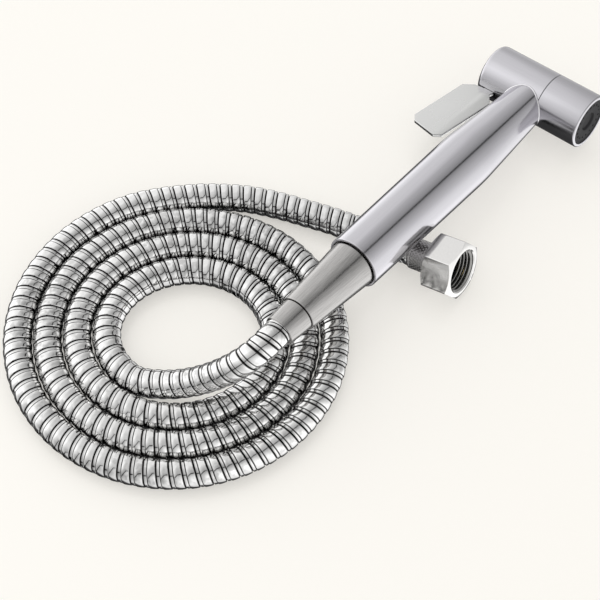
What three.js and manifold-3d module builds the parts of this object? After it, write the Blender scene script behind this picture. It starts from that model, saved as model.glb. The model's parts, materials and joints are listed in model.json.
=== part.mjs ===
// Handheld bath sprayer: a T-shaped stainless handset with a squeeze lever and a stem valve inside its
// head, on a strip-wound steel hose that ends in a hex nut for the water supply.
// Millimetres, +Z up. The set lies on a floor at z = 0, the handle along X with the head at its +X end,
// and the nozzle looking towards -Y.
import * as THREE from "three";
import { mergeVertices } from "three/addons/utils/BufferGeometryUtils.js";
import Module from "manifold-3d";

// ---- Driving dimensions ----
const GAP = 0.3; // clearance between neighbouring pieces
const ROUND = 32; // sides of the large turned pieces
const SMALL_ROUND = 20; // sides of the small turned pieces

// Head, measured along its own axis: + towards the rear, 0 where the handle's axis meets it.
const HEAD_RADIUS = 14.4;
const HEAD_REAR = 28.3;
const HEAD_SEAM = -7.8;
const HEAD_FRONT = -32.8;
const HEAD_BORE = 11.0;
const NIPPLE_RADIUS = 12.5;
const NIPPLE_END = -17.0;
const SLEEVE_BORE = 12.9;
const SLEEVE_LIP = 12.5; // radius of the opening in the sleeve's front lip
const REAR_FILLET = 2.5;
const CASING_END = 2.0; // thickness of the casing's closed rear end

// Spray plate: one ring of jets round a plain dimple.
const JETS = 18;
const JET_CIRCLE = 9.4;
const JET_RADIUS = 0.65;
const PLATE_BACK = HEAD_FRONT + 3.2;
const CUP_HOLES = 8;
const CUP_HOLE_CIRCLE = 7.6;
const CUP_HOLE_RADIUS = 1.4;

// Valve inside the head, on the head's axis.
const STEM_RADIUS = 2.0;
const SEAT_FACE = -8.6;
const SEAL_THICKNESS = 1.6;
const GUIDE_FRONT = 8.5;
const GUIDE_REAR = 13.5;
const YOKE_RADIUS = 3.6;
const YOKE_REAR = 23.0;

// Lever: a flat plate in the plane of the head and the handle.
const LEVER_THICKNESS = 2.0;
const LEVER_PIN = { x: -8.2, y: 18.8, radius: 1.0 };
const LEVER_NOSE_RADIUS = 1.35;
const PADDLE = { x: -16.1, y: 22.9, length: 42, halfWidth: 10, splay: THREE.MathUtils.degToRad(9) };
const PADDLE_NEAR_CHAMFER = 4.8;
const PADDLE_FAR_CHAMFER = 3.2;

// Handle, measured down its own axis from the head's axis.
const HANDLE_TOP_RADIUS = 11.4;
const HANDLE_SHOULDER = 62;
const HANDLE_SHOULDER_RADIUS = 14.8;
const HANDLE_END = 149.4;
const HANDLE_END_RADIUS = 14.0;
const HANDLE_WALL = 1.3;
const WATERWAY_RADIUS = 6.0;
const SPIGOT_RADIUS = 10.2; // G1/2 male thread, at the crest of its ridges
const SPIGOT_END = 160.0;
const CONE_START = HANDLE_END + 0.5;
const CONE_END = 189.0;
const CONE_TOP_RADIUS = 12.3;
const CONE_TIP_RADIUS = 9.2;
const FERRULE_END = 202.2;

// Hose and its supply end.
const HOSE_RADIUS = 7.0;
const TAIL_RADIUS = 6.4; // tailpiece inside the hose's end
const TAIL_BORE = 4.2;
const NUT_FLATS = 27.0;
const NUT_LENGTH = 16.0;
const NUT_BORE = 10.1; // G1/2 female thread, between its ridges
const THREAD_PITCH = 1.814;
const THREAD_DEPTH = 0.8;
const THREAD_RIDGES = 4;
const SUPPLY_FERRULE_LENGTH = 12.0;

// Where the pieces lie on the floor, from the middle of the hose's coil.
const COIL = { x: 1.0, y: 4.2, inner: 27.0, outer: 82.5 };
const JUNCTION = { x: 220.6, y: -44.4 }; // above it the handle's axis meets the head's axis
const HANDLE_SLOPE = THREE.MathUtils.degToRad(6.1); // the handle's lower end lies over the hose
const NOZZLE_RISE = THREE.MathUtils.degToRad(7.0); // the nozzle's end is tipped up
const NUT_BACK = { x: 109.0, y: -66.4 };
const NUT_HEADING = THREE.MathUtils.degToRad(-82);
const NUT_RISE = THREE.MathUtils.degToRad(15);
// The hose from the handset's ferrule down to the top of the coil, and from the coil to the nut.
const LEAD_IN_ROUTE = [
  [9.4, -44.1, 38.6],
  [4.5, -43.2, 37.4],
  [-0.1, -41.3, 34.7],
  [-4.5, -38.3, 30.7],
  [-9.0, -34.2, 25.8],
];
const TAIL_ROUTE = [
  [91.6, 0.0, 7.1],
  [95.6, -9.7, 7.1],
  [98.9, -19.0, 7.1],
  [102.4, -29.5, 7.1],
  [104.9, -39.5, 7.1],
];
const STRAIGHT_END = 5; // length of hose that runs straight out of a ferrule
const HOSE_STEP = 14; // length of one straight step of a hose tube

// ---- Solids ----
const wasm = await Module();
wasm.setup();

// A closed geometry as a solid whose faces point outwards.
function solid(geometry) {
  const bare = geometry.index ? geometry.toNonIndexed() : geometry.clone();
  for (const name of Object.keys(bare.attributes)) {
    if (name !== "position") bare.deleteAttribute(name);
  }
  const merged = mergeVertices(bare, 1e-4);
  const corners = merged.index.array;
  const kept = [];
  for (let i = 0; i < corners.length; i += 3) {
    const [a, b, c] = corners.slice(i, i + 3);
    if (a !== b && b !== c && c !== a) kept.push(a, b, c);
  }
  const build = (triangles) =>
    new wasm.Manifold(
      new wasm.Mesh({
        numProp: 3,
        vertProperties: new Float32Array(merged.attributes.position.array),
        triVerts: new Uint32Array(triangles),
      }),
    );
  const made = build(kept);
  return made.volume() >= 0 ? made : build(kept.reverse());
}

function geometryOf(body) {
  const mesh = body.getMesh();
  const positions = new Float32Array(mesh.numVert * 3);
  for (let i = 0; i < mesh.numVert; i++) {
    positions.set(mesh.vertProperties.subarray(i * mesh.numProp, i * mesh.numProp + 3), i * 3);
  }
  const geometry = new THREE.BufferGeometry();
  geometry.setAttribute("position", new THREE.BufferAttribute(positions, 3));
  geometry.setIndex(new THREE.BufferAttribute(mesh.triVerts, 1));
  geometry.computeVertexNormals();
  return geometry;
}

// A turned piece about Y from [radius, height] points. A profile that doesn't start and end on the
// axis closes on itself.
function turned(profile, sides = ROUND) {
  const points = profile.map(([radius, height]) => new THREE.Vector2(radius, height));
  const onAxis = profile[0][0] === 0 && profile.at(-1)[0] === 0;
  if (!onAxis) points.push(points[0].clone());
  return solid(new THREE.LatheGeometry(points, sides));
}

function ring(outer, inner, low, high, sides = ROUND) {
  return turned([[inner, low], [outer, low], [outer, high], [inner, high]], sides);
}

function oRing(middle, radius, height, sides = ROUND) {
  const section = [];
  for (let i = 0; i < 6; i++) {
    const angle = (i / 6) * 2 * Math.PI;
    section.push([middle + radius * Math.cos(angle), height + radius * Math.sin(angle)]);
  }
  return turned(section, sides);
}

// A round bar along Y, moved to a place and turned by Euler angles.
function bar(radius, length, place, turn = [0, 0, 0], sides = SMALL_ROUND) {
  const geometry = new THREE.CylinderGeometry(radius, radius, length, sides);
  geometry.applyMatrix4(new THREE.Matrix4().makeRotationFromEuler(new THREE.Euler(...turn)));
  geometry.translate(...place);
  return solid(geometry);
}

function block(low, high) {
  const size = high.map((value, i) => value - low[i]);
  const middle = high.map((value, i) => (value + low[i]) / 2);
  return solid(new THREE.BoxGeometry(...size).translate(...middle));
}

// A plate in the XY plane, centred on z = 0.
function plate(outline, thickness) {
  const shape = new THREE.Shape(outline.map(([x, y]) => new THREE.Vector2(x, y)));
  const geometry = new THREE.ExtrudeGeometry(shape, { depth: thickness, bevelEnabled: false });
  return solid(geometry.translate(0, 0, -thickness / 2));
}

function circleShape(radius, sides) {
  const corners = [];
  for (let i = 0; i < sides; i++) {
    const angle = (i / sides) * 2 * Math.PI;
    corners.push(new THREE.Vector2(radius * Math.cos(angle), radius * Math.sin(angle)));
  }
  return new THREE.Shape(corners);
}

function tube(curve, radius, sides, steps) {
  const options = { steps, extrudePath: curve, bevelEnabled: false };
  return solid(new THREE.ExtrudeGeometry(circleShape(radius, sides), options));
}

// ---- Materials ----
const satinSteel = new THREE.MeshStandardMaterial({ color: 0xb8b6ba, metalness: 1.0, roughness: 0.3 });
const brushedSteel = new THREE.MeshStandardMaterial({ color: 0xa9a6a2, metalness: 1.0, roughness: 0.42 });
const polishedSteel = new THREE.MeshStandardMaterial({ color: 0xd6d5d2, metalness: 1.0, roughness: 0.12 });
const leverSteel = new THREE.MeshStandardMaterial({ color: 0xdcdbdc, metalness: 1.0, roughness: 0.25 });
const sprayRubber = new THREE.MeshStandardMaterial({ color: 0x2b2b2e, metalness: 0.0, roughness: 0.6 });
const sealRubber = new THREE.MeshStandardMaterial({ color: 0x151515, metalness: 0.0, roughness: 0.8 });
const brass = new THREE.MeshStandardMaterial({ color: 0xb59a55, metalness: 1.0, roughness: 0.35 });
const whitePlastic = new THREE.MeshStandardMaterial({ color: 0xe6e4de, metalness: 0.0, roughness: 0.5 });

function piece(parent, name, body, material) {
  const mesh = new THREE.Mesh(geometryOf(body), material);
  mesh.name = name;
  parent.add(mesh);
  return mesh;
}

// ---- Head: casing, nozzle and valve, turned about the head's axis ----
function quarter(centreRadius, centreHeight, radius, from, to, steps = 4) {
  const points = [];
  for (let i = 0; i <= steps; i++) {
    const angle = THREE.MathUtils.degToRad(from + ((to - from) * i) / steps);
    points.push([centreRadius + radius * Math.cos(angle), centreHeight + radius * Math.sin(angle)]);
  }
  return points;
}

function headBody() {
  const casing = turned([
    [0, HEAD_REAR],
    ...quarter(HEAD_RADIUS - REAR_FILLET, HEAD_REAR - REAR_FILLET, REAR_FILLET, 90, 0),
    [HEAD_RADIUS, HEAD_SEAM],
    [NIPPLE_RADIUS, HEAD_SEAM],
    [NIPPLE_RADIUS, NIPPLE_END],
    [HEAD_BORE, NIPPLE_END],
    [HEAD_BORE, HEAD_REAR - CASING_END],
    [0, HEAD_REAR - CASING_END],
  ]);
  const leverSlot = block([-16, 15.9, -1.5], [-9, 24.2, 1.5]);
  const waterHole = bar(WATERWAY_RADIUS + GAP + 0.2, 7, [-12.5, 0, 0], [0, 0, Math.PI / 2]);
  return casing.subtract(leverSlot).subtract(waterHole);
}

function nozzleSleeve() {
  return turned([
    [SLEEVE_BORE, HEAD_SEAM - GAP],
    [HEAD_RADIUS, HEAD_SEAM - GAP],
    ...quarter(HEAD_RADIUS - 0.8, HEAD_FRONT + 0.8, 0.8, 0, -90, 3),
    [SLEEVE_LIP, HEAD_FRONT],
    [SLEEVE_LIP, HEAD_FRONT + 1.0],
    [SLEEVE_BORE, HEAD_FRONT + 1.0],
  ]);
}

function sprayPlate() {
  const disc = turned([
    [0, PLATE_BACK],
    [SLEEVE_BORE - GAP, PLATE_BACK],
    [SLEEVE_BORE - GAP, HEAD_FRONT + 1.3],
    [SLEEVE_LIP - GAP, HEAD_FRONT + 1.3],
    [SLEEVE_LIP - GAP, HEAD_FRONT + 0.5],
    [5.2, HEAD_FRONT + 0.5],
    [4.6, HEAD_FRONT + 1.9],
    [0, HEAD_FRONT + 1.9],
  ]);
  let made = disc;
  for (let i = 0; i < JETS; i++) {
    const angle = ((i + 0.5) / JETS) * 2 * Math.PI;
    const place = [JET_CIRCLE * Math.cos(angle), HEAD_FRONT + 2, JET_CIRCLE * Math.sin(angle)];
    made = made.subtract(bar(JET_RADIUS, 8, place, [0, 0, 0], 6));
  }
  return made;
}

function flowCup() {
  const cup = turned([
    [0, PLATE_BACK + GAP],
    [SLEEVE_BORE - 0.4, PLATE_BACK + GAP],
    [SLEEVE_BORE - 0.4, NIPPLE_END - 2.2],
    [11.3, NIPPLE_END - 2.2],
    [11.3, PLATE_BACK + 1.9],
    [0, PLATE_BACK + 1.9],
  ]);
  let made = cup;
  for (let i = 0; i < CUP_HOLES; i++) {
    const angle = (i / CUP_HOLES) * 2 * Math.PI;
    const place = [CUP_HOLE_CIRCLE * Math.cos(angle), PLATE_BACK + 1, CUP_HOLE_CIRCLE * Math.sin(angle)];
    made = made.subtract(bar(CUP_HOLE_RADIUS, 6, place, [0, 0, 0], 8));
  }
  return made;
}

function valveSeat() {
  return turned([
    [3.6, SEAT_FACE],
    [4.6, SEAT_FACE],
    [4.6, SEAT_FACE - 0.9],
    [HEAD_BORE - GAP, SEAT_FACE - 0.9],
    [HEAD_BORE - GAP, SEAT_FACE - 6.5],
    [3.6, SEAT_FACE - 6.5],
  ]);
}

const SEAL_FRONT = SEAT_FACE + GAP;
const DISC_FRONT = SEAL_FRONT + SEAL_THICKNESS + GAP;

function valveStem() {
  const rod = turned(
    [
      [0, SEAL_FRONT + 0.3],
      [1.2, SEAL_FRONT + 0.3],
      [1.2, DISC_FRONT],
      [5.0, DISC_FRONT],
      [5.0, DISC_FRONT + 1.6],
      [STEM_RADIUS, DISC_FRONT + 1.6],
      [STEM_RADIUS, GUIDE_REAR + 1.1],
      [YOKE_RADIUS, GUIDE_REAR + 1.1],
      [YOKE_RADIUS, YOKE_REAR],
      [0, YOKE_REAR],
    ],
    SMALL_ROUND,
  );
  const reach = LEVER_NOSE_RADIUS + GAP;
  const half = LEVER_THICKNESS / 2 + GAP;
  return rod.subtract(block([-5, LEVER_PIN.y - reach, -half], [5, LEVER_PIN.y + reach, half]));
}

function valveSpring() {
  const turns = 6;
  const start = DISC_FRONT + 1.6 + 1.3;
  const end = GUIDE_FRONT - 0.9;
  class Coil extends THREE.Curve {
    getPoint(t, target = new THREE.Vector3()) {
      const angle = t * turns * 2 * Math.PI;
      return target.set(3.6 * Math.cos(angle), start + (end - start) * t, 3.6 * Math.sin(angle));
    }
  }
  return tube(new Coil(), 0.4, 5, turns * 10);
}

// The guide closes the wet chamber round the stem, and its two ears hold the lever's pin.
function stemGuide() {
  const radius = HEAD_BORE - GAP;
  const body = turned([
    [STEM_RADIUS + GAP, GUIDE_FRONT],
    [radius, GUIDE_FRONT],
    [radius, 10.1],
    [9.0, 10.1],
    [9.0, 11.9],
    [radius, 11.9],
    [radius, GUIDE_REAR],
    [STEM_RADIUS + GAP, GUIDE_REAR],
    [STEM_RADIUS + GAP, 11.9],
    [3.9, 11.9],
    [3.9, 10.1],
    [STEM_RADIUS + GAP, 10.1],
  ]);
  const inner = LEVER_THICKNESS / 2 + 0.5;
  let made = body;
  for (const side of [-1, 1]) {
    const faces = [side * inner, side * 4.0].sort((a, b) => a - b);
    made = made.add(block([-9.8, GUIDE_REAR - 1, faces[0]], [-5.6, 21.4, faces[1]]));
  }
  const pinHole = bar(LEVER_PIN.radius + GAP, 12, [LEVER_PIN.x, LEVER_PIN.y, 0], [Math.PI / 2, 0, 0], 16);
  return made.subtract(pinHole);
}

function leverPin() {
  return bar(LEVER_PIN.radius, 9.6, [LEVER_PIN.x, LEVER_PIN.y, 0], [Math.PI / 2, 0, 0], 16);
}

// The lever's outline: a round nose in the stem's yoke, the pin's boss, the neck through the casing's
// slot, and the eight-sided paddle.
function leverOutline() {
  const { x, y, length, halfWidth, splay } = PADDLE;
  const along = [-Math.cos(splay), Math.sin(splay)];
  const across = [-Math.sin(splay), -Math.cos(splay)]; // towards the handle
  const at = (l, w) => [x + along[0] * l + across[0] * w, y + along[1] * l + across[1] * w];
  const nose = [];
  for (let i = 0; i <= 6; i++) {
    const angle = -Math.PI / 2 + (i / 6) * Math.PI;
    nose.push([LEVER_NOSE_RADIUS * Math.cos(angle), LEVER_PIN.y + LEVER_NOSE_RADIUS * Math.sin(angle)]);
  }
  return [
    ...nose,
    [-4.6, LEVER_PIN.y + 1.2],
    [-6.6, LEVER_PIN.y + 2.3],
    [-9.6, LEVER_PIN.y + 2.6],
    [-14.6, 23.0],
    at(0, -(halfWidth - PADDLE_NEAR_CHAMFER)),
    at(PADDLE_NEAR_CHAMFER, -halfWidth),
    at(length - PADDLE_FAR_CHAMFER, -halfWidth),
    at(length, -(halfWidth - PADDLE_FAR_CHAMFER)),
    at(length, halfWidth - PADDLE_FAR_CHAMFER),
    at(length - PADDLE_FAR_CHAMFER, halfWidth),
    at(PADDLE_NEAR_CHAMFER, halfWidth),
    at(0, halfWidth - PADDLE_NEAR_CHAMFER),
    [-14.6, 17.0],
    [-9.6, LEVER_PIN.y - 2.3],
    [-6.6, LEVER_PIN.y - 2.0],
    [-4.6, LEVER_PIN.y - 1.2],
  ];
}

function lever() {
  const pinHole = bar(LEVER_PIN.radius + GAP, 8, [LEVER_PIN.x, LEVER_PIN.y, 0], [Math.PI / 2, 0, 0], 16);
  return plate(leverOutline(), LEVER_THICKNESS).subtract(pinHole);
}

// ---- Handle: turned about the handle's axis, heights down from the head's axis ----
function handleTube() {
  const body = turned([
    [HANDLE_TOP_RADIUS - HANDLE_WALL, 5],
    [HANDLE_TOP_RADIUS, 5],
    [HANDLE_TOP_RADIUS, 12],
    [HANDLE_SHOULDER_RADIUS, HANDLE_SHOULDER],
    [HANDLE_END_RADIUS, HANDLE_END - 0.8],
    [HANDLE_END_RADIUS - 0.5, HANDLE_END],
    [HANDLE_END_RADIUS - HANDLE_WALL, HANDLE_END],
    [HANDLE_SHOULDER_RADIUS - HANDLE_WALL, HANDLE_SHOULDER],
    [HANDLE_TOP_RADIUS - HANDLE_WALL, 12],
  ]);
  const headBar = bar(HEAD_RADIUS + GAP, 60, [0, 0, 0], [0, 0, Math.PI / 2], ROUND);
  return body.subtract(headBar);
}

function waterwayTube() {
  return ring(WATERWAY_RADIUS, WATERWAY_RADIUS - 1.2, 11.4, 133.2, SMALL_ROUND);
}

function threadProfile(root, crest, start, ridges) {
  const points = [];
  for (let i = 0; i < ridges; i++) {
    const base = start + i * THREAD_PITCH;
    points.push([root, base], [crest, base + THREAD_PITCH / 2]);
  }
  points.push([root, start + ridges * THREAD_PITCH]);
  return points;
}

function inletConnector() {
  const plug = HANDLE_END_RADIUS - HANDLE_WALL - 0.4;
  return turned([
    [WATERWAY_RADIUS + 0.4, 127],
    [plug, 127],
    [plug, HANDLE_END - 0.2],
    [SPIGOT_RADIUS - 0.6, HANDLE_END - 0.2],
    ...threadProfile(SPIGOT_RADIUS - 0.6, SPIGOT_RADIUS, CONE_START + 0.6, THREAD_RIDGES),
    [SPIGOT_RADIUS - 0.6, SPIGOT_END],
    [5.0, SPIGOT_END],
    [5.0, 133.5],
    [WATERWAY_RADIUS + 0.4, 133.5],
    [WATERWAY_RADIUS + 0.4, 131.4],
    [7.9, 131.4],
    [7.9, 129.6],
    [WATERWAY_RADIUS + 0.4, 129.6],
  ]);
}

function coneNut() {
  return turned([
    [SPIGOT_RADIUS + 0.4, CONE_START],
    [CONE_TOP_RADIUS - 0.3, CONE_START],
    [CONE_TOP_RADIUS, CONE_START + 0.4],
    [CONE_TIP_RADIUS + 0.1, CONE_END - 0.8],
    [CONE_TIP_RADIUS - 0.3, CONE_END],
    [TAIL_RADIUS + 0.4, CONE_END],
    [TAIL_RADIUS + 0.4, 168.0],
    [9.4, 168.0],
    [9.4, 162.6],
    [SPIGOT_RADIUS + 0.4, 162.6],
  ]);
}

function handsetTailpiece() {
  return turned(
    [
      [TAIL_BORE, 162.7],
      [9.0, 162.7],
      [9.0, 167.6],
      [TAIL_RADIUS, 167.6],
      [TAIL_RADIUS, 199.0],
      [TAIL_BORE, 199.0],
    ],
    SMALL_ROUND,
  );
}

function handsetFerrule() {
  return turned([
    [TAIL_RADIUS + 0.4, CONE_END + 0.4],
    [8.4, CONE_END + 0.4],
    [8.6, CONE_END + 1.0],
    [8.3, CONE_END + 6.0],
    [7.7, FERRULE_END],
    [TAIL_RADIUS + 0.4, FERRULE_END],
  ]);
}

// ---- Supply end: turned about the nut's axis, heights from the nut's back towards its mouth ----
function hexNut() {
  const corners = [];
  for (let i = 0; i < 6; i++) {
    const angle = (i / 6) * 2 * Math.PI;
    const reach = NUT_FLATS / Math.sqrt(3);
    corners.push(new THREE.Vector2(reach * Math.cos(angle), reach * Math.sin(angle)));
  }
  const options = { depth: NUT_LENGTH, bevelEnabled: false };
  const prism = new THREE.ExtrudeGeometry(new THREE.Shape(corners), options);
  prism.rotateX(-Math.PI / 2); // its depth runs along +Y
  const across = NUT_FLATS / 2;
  const chamfered = turned([
    [0, 0],
    [across - 0.3, 0],
    [across + 2.2, 1.4],
    [across + 2.2, NUT_LENGTH - 1.4],
    [across - 0.3, NUT_LENGTH],
    [0, NUT_LENGTH],
  ]);
  const socket = turned([
    [0, -1],
    [TAIL_RADIUS + 0.4, -1],
    [TAIL_RADIUS + 0.4, 2.6],
    [NUT_BORE, 2.6],
    [NUT_BORE, 7.6],
    ...threadProfile(NUT_BORE, NUT_BORE - THREAD_DEPTH, 7.8, THREAD_RIDGES),
    [NUT_BORE + 0.7, NUT_LENGTH],
    [NUT_BORE + 0.7, NUT_LENGTH + 1],
    [0, NUT_LENGTH + 1],
  ]);
  return solid(prism).intersect(chamfered).subtract(socket);
}

function supplyTailpiece() {
  return turned(
    [
      [TAIL_BORE, -9],
      [TAIL_RADIUS, -9],
      [TAIL_RADIUS, 3.0],
      [9.0, 3.0],
      [9.0, 5.0],
      [TAIL_BORE, 5.0],
    ],
    SMALL_ROUND,
  );
}

function supplyFerrule() {
  return turned([
    [TAIL_RADIUS + 0.4, -SUPPLY_FERRULE_LENGTH],
    [7.4, -SUPPLY_FERRULE_LENGTH],
    [7.8, -SUPPLY_FERRULE_LENGTH + 1.0],
    [7.8, -GAP - 0.6],
    [7.5, -GAP],
    [TAIL_RADIUS + 0.4, -GAP],
  ]);
}

// ---- Hose solids ----
// The coil's outer shape: a flat ring with round sides, as thick as the hose.
function hoseCoil() {
  const left = quarter(COIL.inner + HOSE_RADIUS, HOSE_RADIUS, HOSE_RADIUS, 270, 90, 6);
  const right = quarter(COIL.outer - HOSE_RADIUS, HOSE_RADIUS, HOSE_RADIUS, 90, -90, 6);
  const body = turned([...left, ...right], 44);
  return body.rotate([90, 0, 0]).translate([COIL.x, COIL.y, 0]);
}

function hoseTube(points) {
  const curve = new THREE.CatmullRomCurve3(points);
  return tube(curve, HOSE_RADIUS, 12, Math.ceil(curve.getLength() / HOSE_STEP));
}

const vectors = (route) => route.map(([x, y, z]) => new THREE.Vector3(x, y, z));

// ---- Assembly ----
const sprayer = new THREE.Group();
const handset = new THREE.Group();
const head = new THREE.Group();
const handle = new THREE.Group();
const supplyEnd = new THREE.Group();
sprayer.add(handset, supplyEnd);
handset.add(head, handle);

piece(head, "head_body", headBody(), satinSteel);
piece(head, "nozzle_sleeve", nozzleSleeve(), satinSteel);
piece(head, "spray_plate", sprayPlate(), sprayRubber);
piece(head, "flow_cup", flowCup(), whitePlastic);
piece(head, "sleeve_seal", ring(12.4, 10.9, NIPPLE_END - 1.9, NIPPLE_END - GAP), sealRubber);
piece(head, "valve_seat", valveSeat(), brass);
piece(head, "valve_seal", ring(5.4, 1.5, SEAL_FRONT, SEAL_FRONT + SEAL_THICKNESS, SMALL_ROUND), sealRubber);
piece(head, "valve_stem", valveStem(), polishedSteel);
piece(head, "valve_spring", valveSpring(), polishedSteel);
piece(head, "stem_guide", stemGuide(), brass);
piece(head, "guide_o_ring", oRing(9.95, 0.7, 11.0), sealRubber);
piece(head, "stem_o_ring", oRing(3.05, 0.65, 11.0, SMALL_ROUND), sealRubber);
piece(head, "lever", lever(), leverSteel);
piece(head, "lever_pin", leverPin(), polishedSteel);

handle.rotation.z = Math.PI / 2; // heights down the handle run along the handset's -X
piece(handle, "handle_tube", handleTube(), satinSteel);
piece(handle, "waterway_tube", waterwayTube(), whitePlastic);
piece(handle, "waterway_seal", oRing(7.1, 0.6, 130.5, SMALL_ROUND), sealRubber);
piece(handle, "inlet_connector", inletConnector(), polishedSteel);
const cordPieces = [
  piece(handle, "cone_washer", ring(9.7, 5.4, 160.3, 162.3, SMALL_ROUND), sealRubber),
  piece(handle, "cone_nut", coneNut(), brushedSteel),
  piece(handle, "handset_tailpiece", handsetTailpiece(), brass),
  piece(handle, "handset_ferrule", handsetFerrule(), brushedSteel),
];

// The handset lies with its lowest edge on the floor.
handset.rotation.set(-NOZZLE_RISE, HANDLE_SLOPE, 0, "YXZ");
handset.position.set(JUNCTION.x, JUNCTION.y, 0);
const boxOf = (nodes) => {
  const box = new THREE.Box3();
  for (const node of nodes) box.expandByObject(node, true);
  return box;
};
handset.updateMatrixWorld(true);
const ownPieces = [...head.children, ...handle.children].filter((node) => !cordPieces.includes(node));
handset.position.z = -boxOf(ownPieces).min.z;
handset.updateMatrixWorld(true);

piece(supplyEnd, "supply_ferrule", supplyFerrule(), brushedSteel);
piece(supplyEnd, "supply_tailpiece", supplyTailpiece(), brass);
piece(supplyEnd, "nut_washer", ring(9.2, 5.2, 5.3, 7.2, SMALL_ROUND), sealRubber);
piece(supplyEnd, "hex_nut", hexNut(), polishedSteel);

// The nut stands on the back edge of one flat, its mouth tipped up.
const nutAxis = new THREE.Vector3(
  Math.cos(NUT_HEADING) * Math.cos(NUT_RISE),
  Math.sin(NUT_HEADING) * Math.cos(NUT_RISE),
  Math.sin(NUT_RISE),
);
const nutSide = new THREE.Vector3(-Math.sin(NUT_HEADING), Math.cos(NUT_HEADING), 0);
const nutUp = new THREE.Vector3().crossVectors(nutAxis, nutSide);
if (nutUp.z < 0) nutUp.negate();
nutSide.crossVectors(nutAxis, nutUp);
supplyEnd.quaternion.setFromRotationMatrix(new THREE.Matrix4().makeBasis(nutSide, nutAxis, nutUp));
supplyEnd.position.set(NUT_BACK.x, NUT_BACK.y, (NUT_FLATS / 2) * Math.cos(NUT_RISE) + 0.02);
supplyEnd.updateMatrixWorld(true);

const hoseStart = [0, STRAIGHT_END].map((out) =>
  handle.localToWorld(new THREE.Vector3(0, FERRULE_END + GAP + out, 0)),
);
const hoseEnd = [STRAIGHT_END, 0].map((back) =>
  supplyEnd.localToWorld(new THREE.Vector3(0, -SUPPLY_FERRULE_LENGTH - GAP - back, 0)),
);
piece(sprayer, "hose_lead_in", hoseTube([...hoseStart, ...vectors(LEAD_IN_ROUTE)]), polishedSteel);
piece(sprayer, "hose_coil", hoseCoil(), polishedSteel);
piece(sprayer, "hose_tail", hoseTube([...vectors(TAIL_ROUTE), ...hoseEnd]), polishedSteel);

// The origin is on the floor, under the middle of the handset without its hose.
const middle = boxOf(ownPieces).getCenter(new THREE.Vector3());
sprayer.position.set(-middle.x, -middle.y, 0);
sprayer.updateMatrixWorld(true);

export default sprayer;
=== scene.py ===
import json
import math

import bmesh
import bpy
import numpy as np
from mathutils import Matrix, Vector


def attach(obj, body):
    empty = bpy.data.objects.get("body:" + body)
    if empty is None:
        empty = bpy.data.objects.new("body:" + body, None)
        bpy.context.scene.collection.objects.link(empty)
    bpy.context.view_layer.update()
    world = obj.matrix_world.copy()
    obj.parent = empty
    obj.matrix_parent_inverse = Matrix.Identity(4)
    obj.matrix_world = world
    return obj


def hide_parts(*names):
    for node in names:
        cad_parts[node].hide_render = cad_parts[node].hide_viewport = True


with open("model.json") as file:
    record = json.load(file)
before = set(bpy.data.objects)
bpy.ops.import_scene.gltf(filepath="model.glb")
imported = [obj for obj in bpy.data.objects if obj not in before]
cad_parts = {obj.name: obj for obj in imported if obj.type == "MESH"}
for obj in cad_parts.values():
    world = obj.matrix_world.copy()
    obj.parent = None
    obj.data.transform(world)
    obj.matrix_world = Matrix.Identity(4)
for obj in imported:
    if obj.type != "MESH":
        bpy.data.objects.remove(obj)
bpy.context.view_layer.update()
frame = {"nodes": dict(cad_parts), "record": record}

MM = 0.001

# ---- Places ----
# The handset: its head's axis is local Y, its handle runs down local -X.
JUNCTION = Vector((0.072679, -0.002233, 0.017364))
HANDLE_SLOPE = math.radians(6.1)
NOZZLE_RISE = math.radians(7.0)
HANDSET = (
    Matrix.Translation(JUNCTION)
    @ Matrix.Rotation(HANDLE_SLOPE, 4, "Y")
    @ Matrix.Rotation(-NOZZLE_RISE, 4, "X")
)
HANDLE = HANDSET @ Matrix.Rotation(math.pi / 2, 4, "Z")  # heights run down the handle

# The supply end: heights run from the nut's back to its mouth.
NUT_BACK = Vector((-0.038921, -0.024233, 0.01306))
NUT_HEADING = math.radians(-82.0)
NUT_RISE = math.radians(15.0)

# ---- Sizes, in millimetres ----
HEAD_RADIUS = 14.4
HEAD_REAR = 28.3
HEAD_SEAM = -7.8
HEAD_FRONT = -32.8
HEAD_BORE = 11.0
NIPPLE_RADIUS = 12.5
NIPPLE_END = -17.0
SLEEVE_BORE = 12.9
SLEEVE_LIP = 12.5
REAR_FILLET = 2.5
REAR_WALL = 2.0
RIM_ROUND = 0.8  # round of the nozzle's front rim
SEAM_CHAMFER = 0.15
JETS = 18
JET_CIRCLE = 9.4
JET_RADIUS = 0.65
DIMPLE_RADIUS = 5.5
HANDLE_TOP = 8.0
HANDLE_TAPER = 12.0  # where the handle starts to widen
HANDLE_TOP_RADIUS = 11.4
HANDLE_SHOULDER = 62.0
SHOULDER_RADIUS = 14.8
SHOULDER_SOFTNESS = 5.0  # how far its rounding reaches each way
HANDLE_END = 149.4
HANDLE_END_RADIUS = 14.0
HANDLE_WALL = 1.3
WELD_RADIUS = 0.45
CONE_START = HANDLE_END + 0.5
CONE_END = 189.0
CONE_TOP_RADIUS = 12.3
CONE_TIP_RADIUS = 9.2
CONE_THREAD_RADIUS = 10.6
CONE_THREAD_END = 162.6
CONE_SOCKET_RADIUS = 9.4
CONE_WEB = 168.0
FERRULE_END = 202.2
TAIL_RADIUS = 6.4
TAIL_BORE = 4.2
TAIL_CLEARANCE = TAIL_RADIUS + 0.4  # bore of the pieces round a tailpiece
NUT_FLATS = 27.0
NUT_LENGTH = 16.0
NUT_BORE = 10.8
THREAD_PITCH = 1.814
THREAD_DEPTH = 0.9
THREAD_TURNS = 4
THREAD_START = 7.6
SUPPLY_FERRULE_LENGTH = 12.0
SUPPLY_FERRULE_RADIUS = 7.8
TAIL_BACK = -9.0
FLANGE_RADIUS = 9.0
FLANGE_BACK, FLANGE_FRONT = 3.0, 5.0
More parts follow.
